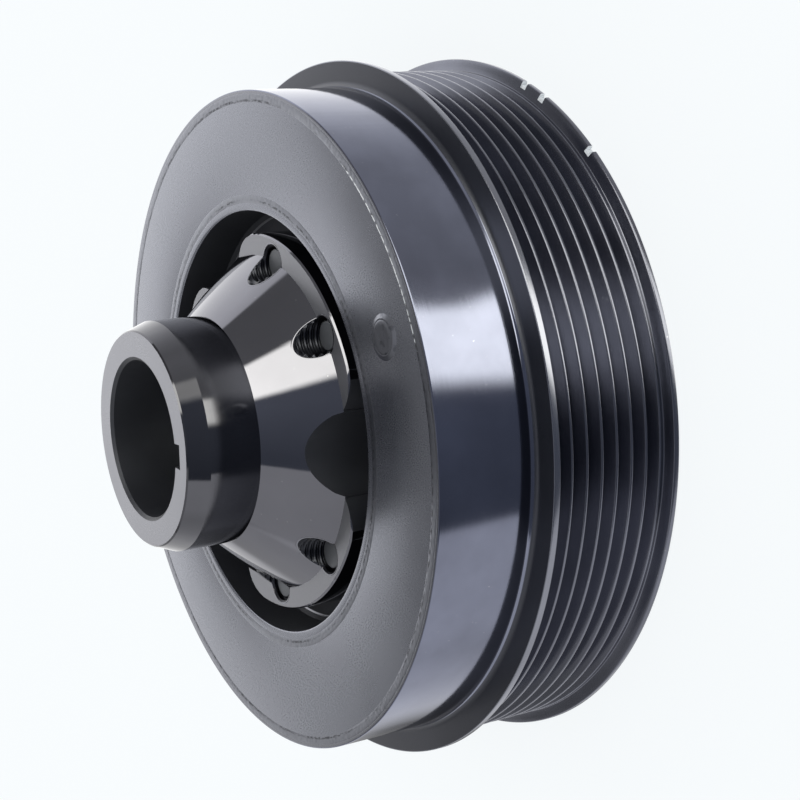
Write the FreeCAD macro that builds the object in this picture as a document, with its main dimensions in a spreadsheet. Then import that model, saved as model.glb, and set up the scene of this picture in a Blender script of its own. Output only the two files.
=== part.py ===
import FreeCAD, Part
import math
import os
import re
import Sketcher

# Viscous crankshaft damper with a ribbed belt pulley. The turning axis is +Z. The part stands on
# the pulley's front face, z = 0, and the snout that the crank nose enters points up.

V = FreeCAD.Vector

# Sizes in millimetres and degrees. Heights are counted from the front face.
SIZES = {
    # Housing
    "housing_radius": 70.0,
    "housing_length": 51.1,
    "housing_edge": 0.4,
    "front_plate": 5.0,
    "inner_wall": 3.9,
    # Opening at the back and recess at the front, with the web between them
    "opening_radius": 45.1,
    "opening_edge": 0.4,
    "web_depth": 11.0,
    "web_thickness": 6.6,
    "web_corner": 1.1,
    "recess_step": 1.1,
    "recess_edge": 0.8,
    "recess_corner": 2.0,
    # Pulley
    "rim_rise": 5.65,
    "rim_edge": 0.25,
    "rim_slope": 0.7,
    "front_rim_width": 1.1,
    "back_rim_width": 1.4,
    "root_chamfer": 1.8,
    "rib_rise": 3.2,
    "rib_wall": 3.4,
    "rib_pitch": 3.56,
    "rib_count": 7,
    "first_groove": 4.2,
    "last_groove": 4.24,
    "groove_depth": 3.3,
    "groove_angle": 40.0,
    "groove_root_radius": 0.45,
    # Timing notches in the front rim
    "notch_width": 0.9,
    "notch_depth": 0.3,
    "notch_length": 1.5,
    "notch_angle_1": 60.1,
    "notch_angle_2": 55.1,
    "notch_angle_3": 40.9,
    # Cover plate and its two welds
    "cover_thickness": 4.0,
    "cover_fit": 0.05,
    "inner_seam_edge": 2.5,
    "outer_seam_edge": 1.65,
    "seam_width": 1.4,
    "seam_depth": 1.6,
    "bead_gap": 0.05,
    "bead_crown": 0.15,
    # Filler plug
    "plug_inset": 10.65,
    "plug_angle": 16.6,
    "plug_radius": 3.0,
    "plug_head_radius": 4.0,
    "plug_head_height": 0.45,
    "plug_head_edge": 0.3,
    "plug_lip": 1.7,
    "plug_dish_depth": 0.2,
    # Inertia ring and its two bearings
    "ring_gap": 0.4,
    "ring_bore_gap": 0.8,
    "bearing_clearance": 0.08,
    "bearing_wall": 1.5,
    "bearing_length": 9.0,
    "bearing_flange_width": 5.92,
    "bearing_flange": 1.2,
    "bearing_end_clearance": 0.25,
    "ring_edge": 0.8,
    # Hub
    "bore_radius": 17.0,
    "bore_edge": 0.6,
    "spigot_radius": 26.0,
    "spigot_fit": 0.03,
    "spigot_edge": 0.5,
    "flange_gap": 4.7,
    "flange_edge": 0.8,
    "flange_thickness": 10.2,
    "flange_land": 5.4,
    "cone_height": 12.9,
    "seal_radius": 24.0,
    "seal_length": 10.8,
    "nose_taper": 1.6,
    "nose_length": 4.4,
    "nose_edge": 0.3,
    "key_width": 5.0,
    "key_depth": 2.0,
    "key_angle": -10.0,
    # Scallops between the hub's three lobes
    "lobe_count": 3,
    "scallop_offset": 0.5,
    "scallop_radius": 10.85,
    "lobe_corner": 5.0,
    # Hub screws, two to a lobe
    "screw_edge": 5.2,
    "screw_spread": 20.3,
    "lobe_angle": 50.0,
    "thread_radius": 4.0,
    "thread_fit": 0.05,
    "screw_end_depth": 0.8,
    "screw_point": 1.4,
    "screw_end_edge": 0.7,
    "screw_head_rise": 2.5,
    "screw_head_height": 8.0,
    "screw_head_edge": 0.6,
    "socket_width": 6.0,
    "socket_depth": 4.0,
    "clearance_hole_play": 0.5,
}

# Lengths that several pieces share, as expressions of the sizes
COVER_SEAT = "(housing_length - cover_thickness)"
WEB_BACK = "(housing_length - web_depth)"
WEB_FRONT = "(housing_length - web_depth - web_thickness)"
CHAMBER_IN = "(opening_radius + inner_wall)"
RIM_R = "(housing_radius + rim_rise)"
RIB_R = "(housing_radius + rib_rise)"
CHAMBER_OUT = "(housing_radius + rib_rise - groove_depth - rib_wall)"
PULLEY_END = "(first_groove + (rib_count - 1) * rib_pitch + last_groove)"
RECESS_R = "(opening_radius - recess_step)"
INNER_SEAM = "(opening_radius + inner_seam_edge)"
OUTER_SEAM = "(housing_radius - outer_seam_edge)"
SEAM_FOOT = "(housing_length - seam_depth)"
FLANGE_FACE = "(housing_length - web_depth + flange_thickness)"
CONE_TOP = "(housing_length - web_depth + flange_thickness + cone_height)"
SEAL_END = "(housing_length - web_depth + flange_thickness + cone_height + seal_length)"
NOSE = "(housing_length - web_depth + flange_thickness + cone_height + seal_length + nose_length)"
PLUG_CIRCLE = "(housing_radius - outer_seam_edge - plug_inset)"
BEARING_IN = "(opening_radius + inner_wall + bearing_clearance)"
BEARING_RIM = "(opening_radius + inner_wall + bearing_clearance + bearing_flange_width)"
FLANGE_R = "(opening_radius - flange_gap)"
CONE_BASE_R = "(opening_radius - flange_gap - flange_land)"
SCREW_CIRCLE = "(opening_radius - flange_gap - screw_edge)"
SCALLOP_CIRCLE = "(opening_radius - flange_gap + scallop_offset)"
RING_BOTTOM = "(front_plate + bearing_end_clearance + ring_gap)"
RING_TOP = "(housing_length - cover_thickness - bearing_end_clearance - ring_gap)"

os.makedirs("parts", exist_ok=True)
doc = FreeCAD.newDocument("harmonic_balancer")
sheet = doc.addObject("Spreadsheet::Sheet", "Sizes")
for row, (alias, number) in enumerate(SIZES.items(), start=1):
    sheet.set("A%d" % row, alias)
    sheet.set("B%d" % row, str(number))
    sheet.setAlias("B%d" % row, alias)
doc.recompute()


def bound(expression):
    """The expression with each size's name pointed at its cell."""
    return re.sub(r"[a-z_]+[0-9]*", lambda w: "Sizes." + w[0] if w[0] in SIZES else w[0], expression)


def value(expression):
    return float(sheet.evalExpression(bound(expression)))


def new_body(label):
    body = doc.addObject("PartDesign::Body", label)
    body.Label = label
    return body


def origin_part(body, role):
    return next(part for part in body.Origin.OriginFeatures if part.Role == role)


def sketch_on(body, name, plane, height="0", turn="0"):
    """A sketch on one of the body's own planes, raised by height and turned by an angle."""
    sketch = body.newObject("Sketcher::SketchObject", name)
    sketch.AttachmentSupport = [(origin_part(body, plane), "")]
    sketch.MapMode = "FlatFace"
    sketch.setExpression("AttachmentOffset.Base.z", bound(height))
    sketch.setExpression("AttachmentOffset.Rotation.Angle", bound(turn))
    return sketch


def dimension(sketch, expression, *where):
    """One driving dimension, bound to its expression of the sizes."""
    index = sketch.addConstraint(Sketcher.Constraint(*where, value(expression)))
    sketch.setExpression("Constraints[%d]" % index, bound(expression))


def place(sketch, element, point, across, up):
    """Fixes one point of an element at (across, up) from the sketch's origin."""
    if across == "0":
        sketch.addConstraint(Sketcher.Constraint("PointOnObject", element, point, -2))
    else:
        dimension(sketch, across, "DistanceX", -1, 1, element, point)
    if up == "0":
        sketch.addConstraint(Sketcher.Constraint("PointOnObject", element, point, -1))
    else:
        dimension(sketch, up, "DistanceY", -1, 1, element, point)


def add_arc(sketch, start, finish, centre):
    """Adds the shorter arc between two points and returns the numbers of its first and last end."""
    forwards = (start - centre).cross(finish - centre).z > 0
    ends = (start, finish) if forwards else (finish, start)
    angles = [math.atan2(end.y - centre.y, end.x - centre.x) for end in ends]
    if angles[1] < angles[0]:
        angles[1] += 2 * math.pi
    whole = Part.Circle(centre, V(0, 0, 1), (start - centre).Length)
    sketch.addGeometry(Part.ArcOfCircle(whole, angles[0], angles[1]), False)
    return (1, 2) if forwards else (2, 1)


def outline(sketch, corners):
    """Closed outline through corners given as pairs of expressions. Where a radius and a
    centre follow the pair, the edge that leaves that corner is an arc."""
    points = [V(value(corner[0]), value(corner[1]), 0) for corner in corners]
    count = len(corners)
    ends = []
    for index, corner in enumerate(corners):
        start = points[index]
        finish = points[(index + 1) % count]
        if len(corner) > 2:
            centre = V(value(corner[3]), value(corner[4]), 0)
            ends.append(add_arc(sketch, start, finish, centre))
        else:
            sketch.addGeometry(Part.LineSegment(start, finish), False)
            ends.append((1, 2))
    for index, corner in enumerate(corners):
        before = (index - 1) % count
        joint = (before, ends[before][1], index, ends[index][0])
        sketch.addConstraint(Sketcher.Constraint("Coincident", *joint))
        place(sketch, index, ends[index][0], corner[0], corner[1])
        if len(corner) > 2:
            dimension(sketch, corner[2], "Radius", index)


def circle(sketch, across, up, radius):
    centre = V(value(across), value(up), 0)
    element = sketch.addGeometry(Part.Circle(centre, V(0, 0, 1), value(radius)), False)
    place(sketch, element, 3, across, up)
    dimension(sketch, radius, "Radius", element)


def turned(body, name, corners, kind="PartDesign::Revolution"):
    """Adds, or cuts with a groove, a ring whose section is given as (radius, height) corners."""
    sketch = sketch_on(body, name + "_section", "XZ_Plane")
    outline(sketch, corners)
    feature = body.newObject(kind, name)
    feature.Profile = sketch
    feature.ReferenceAxis = (sketch, ["V_Axis"])
    feature.Angle = 360
    doc.recompute()
    return feature


def pocket(body, name, sketch, depth=None, upwards=False):
    """Cuts the sketch's shape out downwards or upwards, to a depth or right through both ways."""
    feature = body.newObject("PartDesign::Pocket", name)
    feature.Profile = sketch
    if depth is None:
        feature.SideType = "Symmetric"
        feature.Type = "ThroughAll"
    else:
        feature.setExpression("Length", bound(depth))
        feature.Reversed = upwards
    doc.recompute()
    return feature


def around(body, name, feature, count):
    """Repeats a feature round the turning axis."""
    pattern = body.newObject("PartDesign::PolarPattern", name)
    pattern.Originals = [feature]
    pattern.Axis = (origin_part(body, "Z_Axis"), [""])
    pattern.Angle = 360
    pattern.setExpression("Occurrences", bound(count))
    body.Tip = pattern
    doc.recompute()
    return pattern


def screw_holes(body, name, radius):
    """A pair of through holes on each lobe, on the screws' circle."""
    sketch = sketch_on(body, name + "_sketch", "XY_Plane", WEB_BACK, "lobe_angle")
    for side in ("", "-"):
        up = side + SCREW_CIRCLE + " * sin(screw_spread * 1deg)"
        circle(sketch, SCREW_CIRCLE + " * cos(screw_spread * 1deg)", up, radius)
    return around(body, name + "_set", pocket(body, name, sketch), "lobe_count")


def housing():
    """Turned shell: fluid chamber, hub web, bearing surface of the ring, and the pulley."""
    body = new_body("housing")
    rim_foot_low = "front_rim_width + rim_slope"
    rim_foot_high = PULLEY_END + " - back_rim_width - rim_slope"
    turned(body, "shell", [
        (RECESS_R + " + recess_edge", "0"),
        (RIM_R + " - rim_edge", "0"),
        (RIM_R, "rim_edge"),
        (RIM_R, "front_rim_width"),
        (RIB_R, rim_foot_low),
        (RIB_R, rim_foot_high),
        (RIM_R, PULLEY_END + " - back_rim_width"),
        (RIM_R, PULLEY_END + " - rim_edge"),
        (RIM_R + " - rim_edge", PULLEY_END),
        ("housing_radius + root_chamfer", PULLEY_END),
        ("housing_radius", PULLEY_END + " + root_chamfer"),
        ("housing_radius", "housing_length - housing_edge"),
        ("housing_radius - housing_edge", "housing_length"),
        (OUTER_SEAM + " + seam_width / 2", "housing_length"),
        (OUTER_SEAM, SEAM_FOOT),
        (OUTER_SEAM, COVER_SEAT),
        (CHAMBER_OUT, COVER_SEAT),
        (CHAMBER_OUT, "front_plate"),
        (CHAMBER_IN, "front_plate"),
        (CHAMBER_IN, COVER_SEAT),
        (INNER_SEAM, COVER_SEAT),
        (INNER_SEAM, SEAM_FOOT),
        (INNER_SEAM + " - seam_width / 2", "housing_length"),
        ("opening_radius + opening_edge", "housing_length"),
        ("opening_radius", "housing_length - opening_edge"),
        ("opening_radius", WEB_BACK + " + web_corner"),
        ("opening_radius - web_corner", WEB_BACK),
        ("spigot_radius + spigot_fit", WEB_BACK),
        ("spigot_radius + spigot_fit", WEB_FRONT),
        (RECESS_R + " - recess_corner", WEB_FRONT),
        (RECESS_R, WEB_FRONT + " - recess_corner"),
        (RECESS_R, "recess_edge"),
    ])
    cut_rib_grooves(body)
    screw_holes(body, "clearance_hole", "thread_radius + clearance_hole_play")
    for number in (1, 2, 3):
        cut_notch(body, number)
    return body


def cut_rib_grooves(body):
    """V grooves for the ribbed belt, each with a round root, in one row along the pulley."""
    half = "(groove_angle / 2 * 1deg)"
    centre = RIB_R + " - groove_depth + groove_root_radius"
    touch = "%s - groove_root_radius * sin(%s)" % (centre, half)
    root_half = "groove_root_radius * cos(%s)" % half
    mouth_half = "%s + (%s - (%s)) * tan(%s)" % (root_half, RIB_R, touch, half)
    groove = turned(body, "rib_groove", [
        (RIB_R, "first_groove - (%s)" % mouth_half),
        (touch, "first_groove - " + root_half, "groove_root_radius", centre, "first_groove"),
        (touch, "first_groove + " + root_half),
        (RIB_R, "first_groove + " + mouth_half),
    ], "PartDesign::Groove")
    row = body.newObject("PartDesign::LinearPattern", "rib_groove_row")
    row.Originals = [groove]
    row.Direction = (origin_part(body, "Z_Axis"), [""])
    row.Mode = "Spacing"
    row.setExpression("Offset", bound("rib_pitch"))
    row.setExpression("Occurrences", bound("rib_count"))
    body.Tip = row
    doc.recompute()


def cut_notch(body, number):
    """Timing notch across the front rim's outside."""
    turn = "notch_angle_%d" % number
    sketch = sketch_on(body, "notch_sketch_%d" % number, "XY_Plane", "0", turn)
    outline(sketch, [
        (RIM_R + " - notch_depth", "-notch_width / 2"),
        (RIM_R + " + notch_depth", "-notch_width / 2"),
        (RIM_R + " + notch_depth", "notch_width / 2"),
        (RIM_R + " - notch_depth", "notch_width / 2"),
    ])
    return pocket(body, "notch_%d" % number, sketch, "notch_length", upwards=True)


def cover_plate():
    """Ring that closes the fluid chamber, with weld bevels at both edges and the filler hole."""
    body = new_body("cover_plate")
    turned(body, "plate", [
        (INNER_SEAM + " + cover_fit", COVER_SEAT),
        (OUTER_SEAM + " - cover_fit", COVER_SEAT),
        (OUTER_SEAM + " - cover_fit", SEAM_FOOT),
        (OUTER_SEAM + " - cover_fit - seam_width / 2", "housing_length"),
        (INNER_SEAM + " + cover_fit + seam_width / 2", "housing_length"),
        (INNER_SEAM + " + cover_fit", SEAM_FOOT),
    ])
    sketch = sketch_on(body, "filler_hole_sketch", "XY_Plane", "housing_length", "plug_angle")
    circle(sketch, PLUG_CIRCLE, "0", "plug_radius + cover_fit")
    pocket(body, "filler_hole", sketch)
    return body


def weld_bead(label, seam_radius):
    """Weld in the V groove between the cover plate and a wall, slightly proud of both."""
    body = new_body(label)
    turned(body, "bead", [
        (seam_radius, SEAM_FOOT + " + 2 * bead_gap"),
        (seam_radius + " + seam_width / 2 - bead_gap - cover_fit", "housing_length"),
        (seam_radius, "housing_length + bead_crown"),
        (seam_radius + " - seam_width / 2 + bead_gap + cover_fit", "housing_length"),
    ])
    return body


def filler_plug():
    """Plug that seals the fluid's filler hole, with a low spun head on the cover."""
    body = new_body("filler_plug")
    dish = "plug_head_radius - plug_lip"
    turned(body, "plug", [
        ("0", COVER_SEAT),
        ("plug_radius", COVER_SEAT),
        ("plug_radius", "housing_length"),
        ("plug_head_radius", "housing_length"),
        ("plug_head_radius - plug_head_edge", "housing_length + plug_head_height"),
        (dish, "housing_length + plug_head_height"),
        (dish + " - plug_dish_depth", "housing_length + plug_head_height - plug_dish_depth"),
        ("0", "housing_length + plug_head_height - plug_dish_depth"),
    ])
    body.setExpression("Placement.Base.x", bound(PLUG_CIRCLE + " * cos(plug_angle * 1deg)"))
    body.setExpression("Placement.Base.y", bound(PLUG_CIRCLE + " * sin(plug_angle * 1deg)"))
    return body


def inertia_ring():
    """Heavy ring that floats in the fluid, stepped at both ends for its bearings."""
    body = new_body("inertia_ring")
    seat = BEARING_IN + " + bearing_wall + bearing_clearance / 4"
    bore = CHAMBER_IN + " + ring_bore_gap"
    face_step = "bearing_flange - ring_gap"
    turned(body, "ring", [
        (bore, RING_BOTTOM + " + bearing_length - ring_gap"),
        (seat, RING_BOTTOM + " + bearing_length - ring_gap"),
        (seat, RING_BOTTOM + " + " + face_step),
        (BEARING_RIM + " + bearing_clearance", RING_BOTTOM + " + " + face_step),
        (BEARING_RIM + " + bearing_clearance", RING_BOTTOM),
        (CHAMBER_OUT + " - ring_gap - ring_edge", RING_BOTTOM),
        (CHAMBER_OUT + " - ring_gap", RING_BOTTOM + " + ring_edge"),
        (CHAMBER_OUT + " - ring_gap", RING_TOP + " - ring_edge"),
        (CHAMBER_OUT + " - ring_gap - ring_edge", RING_TOP),
        (BEARING_RIM + " + bearing_clearance", RING_TOP),
        (BEARING_RIM + " + bearing_clearance", RING_TOP + " - (%s)" % face_step),
        (seat, RING_TOP + " - (%s)" % face_step),
        (seat, RING_TOP + " - bearing_length + ring_gap"),
        (bore, RING_TOP + " - bearing_length + ring_gap"),
    ])
    return body


def bearing(label, face, inward):
    """Flanged plain bearing: its sleeve runs on the inner wall, its flange on an end wall."""
    body = new_body(label)
    flange = "%s %s bearing_flange" % (face, inward)
    end = "%s %s bearing_length" % (face, inward)
    turned(body, "sleeve", [
        (BEARING_IN, face),
        (BEARING_RIM, face),
        (BEARING_RIM, flange),
        (BEARING_IN + " + bearing_wall", flange),
        (BEARING_IN + " + bearing_wall", end),
        (BEARING_IN, end),
    ])
    return body


def hub():
    """Turned hub: spigot, lobed flange, cone and the snout that the crank seal runs on."""
    body = new_body("hub")
    turned(body, "turning", [
        ("bore_radius + bore_edge", WEB_FRONT),
        ("spigot_radius - spigot_edge", WEB_FRONT),
        ("spigot_radius", WEB_FRONT + " + spigot_edge"),
        ("spigot_radius", WEB_BACK),
        (FLANGE_R, WEB_BACK),
        (FLANGE_R, FLANGE_FACE + " - flange_edge"),
        (FLANGE_R + " - flange_edge", FLANGE_FACE),
        (CONE_BASE_R, FLANGE_FACE),
        ("seal_radius", CONE_TOP),
        ("seal_radius", SEAL_END),
        ("seal_radius - nose_taper", NOSE + " - nose_edge"),
        ("seal_radius - nose_taper - nose_edge", NOSE),
        ("bore_radius + bore_edge", NOSE),
        ("bore_radius", NOSE + " - bore_edge"),
        ("bore_radius", WEB_FRONT + " + bore_edge"),
    ])
    cut_scallops(body)
    screw_holes(body, "tapped_hole", "thread_radius + thread_fit")
    sketch = sketch_on(body, "keyway_sketch", "XY_Plane", WEB_FRONT, "key_angle")
    outline(sketch, [
        ("bore_radius / 2", "-key_width / 2"),
        ("bore_radius + key_depth", "-key_width / 2"),
        ("bore_radius + key_depth", "key_width / 2"),
        ("bore_radius / 2", "key_width / 2"),
    ])
    pocket(body, "keyway", sketch)
    return body


def cut_scallops(body):
    """Round scallops that leave three lobes, each with rounded corners at the flange's rim."""
    # A corner's centre is one corner radius inside the rim and outside the scallop
    spoke = "(%s - lobe_corner)" % FLANGE_R
    span = "(scallop_radius + lobe_corner)"
    circle_r = SCALLOP_CIRCLE
    squares = "%s * %s + %s * %s - %s * %s" % (circle_r, circle_r, spoke, spoke, span, span)
    turn = "(acos((%s) / (2 * %s * %s)))" % (squares, circle_r, spoke)
    across = "(%s * cos(%s))" % (spoke, turn)
    up = "(%s * sin(%s))" % (spoke, turn)
    share = "(lobe_corner / %s)" % span
    rim_across = "%s * cos(%s)" % (FLANGE_R, turn)
    rim_up = "%s * sin(%s)" % (FLANGE_R, turn)
    touch_across = "%s + (%s - %s) * %s" % (across, circle_r, across, share)
    touch_up = "%s * (1 - %s)" % (up, share)
    beyond = FLANGE_R + " + lobe_corner"
    sketch = sketch_on(body, "scallop_sketch", "XY_Plane", WEB_BACK, "lobe_angle - 180 / lobe_count")
    outline(sketch, [
        (touch_across, touch_up, "scallop_radius", circle_r, "0"),
        (touch_across, "-" + touch_up, "lobe_corner", across, "-" + up),
        (rim_across, "-" + rim_up),
        (beyond, "-" + rim_up),
        (beyond, rim_up),
        (rim_across, rim_up, "lobe_corner", across, up),
    ])
    scallop = pocket(body, "scallop", sketch, "flange_thickness + cone_height", upwards=True)
    around(body, "scallops", scallop, "lobe_count")


def hub_screw(number, angle):
    """Socket head screw from the front, its plain end just below the flange's face."""
    body = new_body("hub_screw_%d" % number)
    seat = WEB_FRONT
    end = "(%s - screw_end_depth)" % FLANGE_FACE
    head = "thread_radius + screw_head_rise"
    turned(body, "screw_%d" % number, [
        ("0", seat + " - screw_head_height"),
        (head + " - screw_head_edge", seat + " - screw_head_height"),
        (head, seat + " - screw_head_height + screw_head_edge"),
        (head, seat),
        ("thread_radius", seat),
        ("thread_radius", end + " - screw_end_edge"),
        ("thread_radius - screw_point", end),
        ("0", end),
    ])
    sketch = sketch_on(body, "socket_sketch_%d" % number, "XY_Plane", seat + " - screw_head_height")
    reach = "socket_width / 2 / cos(30deg)"
    outline(sketch, [
        ("%s * cos(%ddeg)" % (reach, turn), "%s * sin(%ddeg)" % (reach, turn))
        for turn in range(0, 360, 60)
    ])
    pocket(body, "socket_%d" % number, sketch, "socket_depth", upwards=True)
    body.setExpression("Placement.Base.x", bound("%s * cos((%s) * 1deg)" % (SCREW_CIRCLE, angle)))
    body.setExpression("Placement.Base.y", bound("%s * sin((%s) * 1deg)" % (SCREW_CIRCLE, angle)))
    return body


def hub_screws():
    """One screw in each tapped hole."""
    screws = []
    for lobe in range(int(value("lobe_count"))):
        for side in ("-", "+"):
            angle = "lobe_angle + %d * 360 / lobe_count %s screw_spread" % (lobe, side)
            screws.append(hub_screw(len(screws) + 1, angle))
    return screws


def check(bodies):
    """Stops on a feature that failed or a piece that is not one sound solid."""
    for item in doc.Objects:
        if "Invalid" in item.State or "Error" in item.State:
            raise RuntimeError("%s failed: %s" % (item.Name, item.State))
    for body in bodies:
        if body.Shape.isNull() or not body.Shape.isValid() or len(body.Shape.Solids) != 1:
            raise RuntimeError("%s is not one sound solid" % body.Label)


pieces = [
    housing(),
    cover_plate(),
    weld_bead("weld_outer", OUTER_SEAM),
    weld_bead("weld_inner", INNER_SEAM),
    filler_plug(),
    inertia_ring(),
    bearing("bearing_front", "(front_plate + bearing_end_clearance)", "+"),
    bearing("bearing_back", "(%s - bearing_end_clearance)" % COVER_SEAT, "-"),
    hub(),
] + hub_screws()
doc.recompute()
check(pieces)
for piece in pieces:
    piece.Shape.exportStep("parts/%s.step" % piece.Label)
    print("%-14s volume %9.1f mm3  %s" % (piece.Label, piece.Shape.Volume, piece.Shape.BoundBox))
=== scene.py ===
import math
import bpy
from mathutils import Matrix, Vector, noise


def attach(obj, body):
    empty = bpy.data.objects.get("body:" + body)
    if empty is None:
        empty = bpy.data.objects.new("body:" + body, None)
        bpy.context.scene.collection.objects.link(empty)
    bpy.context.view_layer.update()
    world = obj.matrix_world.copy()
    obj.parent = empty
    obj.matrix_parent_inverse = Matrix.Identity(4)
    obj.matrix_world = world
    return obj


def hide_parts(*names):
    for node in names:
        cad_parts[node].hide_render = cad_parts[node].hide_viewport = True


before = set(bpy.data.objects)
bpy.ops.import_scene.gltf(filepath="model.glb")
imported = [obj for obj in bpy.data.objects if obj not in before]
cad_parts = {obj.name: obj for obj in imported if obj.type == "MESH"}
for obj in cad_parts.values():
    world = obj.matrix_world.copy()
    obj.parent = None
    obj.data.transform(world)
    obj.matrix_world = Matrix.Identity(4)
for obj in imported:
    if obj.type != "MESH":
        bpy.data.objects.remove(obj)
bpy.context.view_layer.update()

MM = 0.001
ROUND = 320          # steps round a turned piece
LEVEL = 0.999        # a face whose normal's Z is over this is a flat one square to the axis
UPRIGHT = 0.2        # a face whose normal's Z is under this is a wall along the axis

# Sizes in millimetres. Names with MODEL_ are the solid's, where the visual has its own beside it.
HOUSING_R = 70.0
LENGTH = 51.1
OPENING_R = 45.1
WEB_BACK = 40.1
WEB_FRONT = 33.5
WEB_CORNER = 1.1
RECESS_R = 44.0
SPIGOT_HOLE_R = 26.03
CHAMBER_IN_R = 49.0
CHAMBER_OUT_R = 66.5
CHAMBER_FLOOR = 5.0
COVER_THICKNESS = 4.0
RIM_R = 75.65
RIB_R = 73.2
RIB_PITCH = 3.56
RIB_COUNT = 7
FIRST_GROOVE = 4.2
GROOVE_DEPTH = 3.3
GROOVE_ANGLE = 40.0
GROOVE_ROOT_R = 0.45
PULLEY_LENGTH = 29.8
FRONT_RIM = 1.1
RIM_SLOPE = 0.7
BACK_RIM = 1.4
ROOT_FILLET = 1.5
INNER_SEAM_R = 47.6
OUTER_SEAM_R = 68.35
SEAM_WIDTH = 1.4
SEAM_DEPTH = 1.6
SEAM_GAP = 0.05
PLUG_CIRCLE = 57.7
PLUG_ANGLE = 16.6
PLUG_R = 3.0
FLANGE_FACE = 50.3
MODEL_FLANGE_R = 40.4
MODEL_FLANGE_EDGE = 0.8
FLANGE_EDGE = 0.35
SCALLOP_CIRCLE = 40.9
SCALLOP_R = 10.85
MODEL_LOBE_CORNER = 5.0
LOBE_CORNER = 8.0
MODEL_CONE_BASE_R = 35.0
CONE_BASE_R = 35.8
CONE_HEIGHT = 12.9
SEAL_R = 24.0
MODEL_BORE_R = 17.0
MODEL_BORE_EDGE = 0.6
BORE_R = 16.3
BORE_EDGE = 0.7
SCREW_CIRCLE = 35.2
SCREW_SPREAD = 20.3
LOBE_ANGLE = 50.0
LOBES = 3
THREAD_R = 4.0
THREAD_PITCH = 1.25
THREAD_DEPTH = 0.62
THREAD_BOTTOM = 48.7
SCREW_END = 49.55
SCREW_END_R = 2.95
NOTCH_ANGLES = (59.4, 54.4, 40.2)
NOTCH_WIDTH = 1.7
NOTCH_DEPTH = 0.85


# Node helpers

class Nodes:
    """A material's or the world's node tree, built in short calls."""

    def __init__(self, tree):
        self.tree = tree
        tree.nodes.clear()

    def add(self, kind, **settings):
        node = self.tree.nodes.new(kind)
        for name, setting in settings.items():
            setattr(node, name, setting)
        return node

    def link(self, source, target):
        self.tree.links.new(source, target)

    def feed(self, what, socket):
        """Links another node's output to an input, or gives the input a value."""
        if isinstance(what, bpy.types.NodeSocket):
            self.link(what, socket)
        else:
            socket.default_value = what

    def put(self, node, **values):
        """Sets or links the node's inputs; underscores stand for spaces."""
        for name, what in values.items():
            self.feed(what, node.inputs[name.replace("_", " ")])
        return node

    def math(self, operation, first, second=None, clamp=False):
        node = self.add("ShaderNodeMath", operation=operation, use_clamp=clamp)
        self.feed(first, node.inputs[0])
        if second is not None:
            self.feed(second, node.inputs[1])
        return node.outputs[0]

    def times(self, *factors):
        """Product of two or more values."""
        product = factors[0]
        for factor in factors[1:]:
            product = self.math("MULTIPLY", product, factor)
        return product

    def span(self, what, low, high, to_low=0.0, to_high=1.0, smooth=False):
        """Maps a value from one range to another, kept inside it."""
        node = self.add("ShaderNodeMapRange", interpolation_type="SMOOTHSTEP" if smooth else "LINEAR")
        self.put(node, Value=what, From_Min=low, From_Max=high, To_Min=to_low, To_Max=to_high)
        return node.outputs["Result"]

    def mix_color(self, share, first, second, blend="MIX"):
        node = self.add("ShaderNodeMix", data_type="RGBA", blend_type=blend)
        for index, what in ((0, share), (6, first), (7, second)):
            self.feed((*what, 1.0) if isinstance(what, tuple) else what, node.inputs[index])
        return node.outputs[2]

    def noise(self, where, scale, detail=2.0, roughness=0.5):
        node = self.add("ShaderNodeTexNoise")
        self.put(node, Vector=where, Scale=scale, Detail=detail, Roughness=roughness)
        return node.outputs["Fac"]

    def join(self, *parts):
        """Vector of three values."""
        node = self.add("ShaderNodeCombineXYZ")
        for socket, part in zip(node.inputs, parts):
            self.feed(part, socket)
        return node.outputs[0]

    def bump(self, height, strength, distance, normal=None):
        node = self.add("ShaderNodeBump")
        self.put(node, Height=height, Strength=strength, Distance=distance)
        if normal is not None:
            self.link(normal, node.inputs["Normal"])
        return node.outputs["Normal"]


def new_material(name):
    """Material with its node tree, its shader and the object's own coordinates."""
    material = bpy.data.materials.new(name)
    material.use_nodes = True
    nodes = Nodes(material.node_tree)
    shader = nodes.add("ShaderNodeBsdfPrincipled")
    output = nodes.add("ShaderNodeOutputMaterial")
    nodes.link(shader.outputs[0], output.inputs["Surface"])
    place = nodes.add("ShaderNodeTexCoord").outputs["Object"]
    return material, nodes, shader, place


def band(nodes, what, start, finish, soft):
    """1 between two values, falling to 0 over a soft edge outside them."""
    rise = nodes.span(what, start - soft, start + soft, smooth=True)
    fall = nodes.span(what, finish - soft, finish + soft, 1.0, 0.0, smooth=True)
    return nodes.times(rise, fall)


def round_axis(nodes, place):
    """Radius and height of a point about the turning axis, in metres, and its angle in radians."""
    split = nodes.add("ShaderNodeSeparateXYZ")
    nodes.link(place, split.inputs[0])
    across, back, height = split.outputs
    square = nodes.math("ADD", nodes.times(across, across), nodes.times(back, back))
    return nodes.math("SQRT", square), height, nodes.math("ARCTAN2", back, across)


def turning_marks(nodes, place, step):
    """Fine uneven lines that run round the axis, as a lathe tool leaves them."""
    radius, height, angle = round_axis(nodes, place)
    along = nodes.math("ADD", radius, nodes.times(height, 1.37))
    where = nodes.join(
        nodes.math("DIVIDE", along, step * MM),
        nodes.times(nodes.math("SINE", angle), 0.35),
        nodes.times(nodes.math("COSINE", angle), 0.35),
    )
    return nodes.noise(where, 1.0, 3.0, 0.6)


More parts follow.
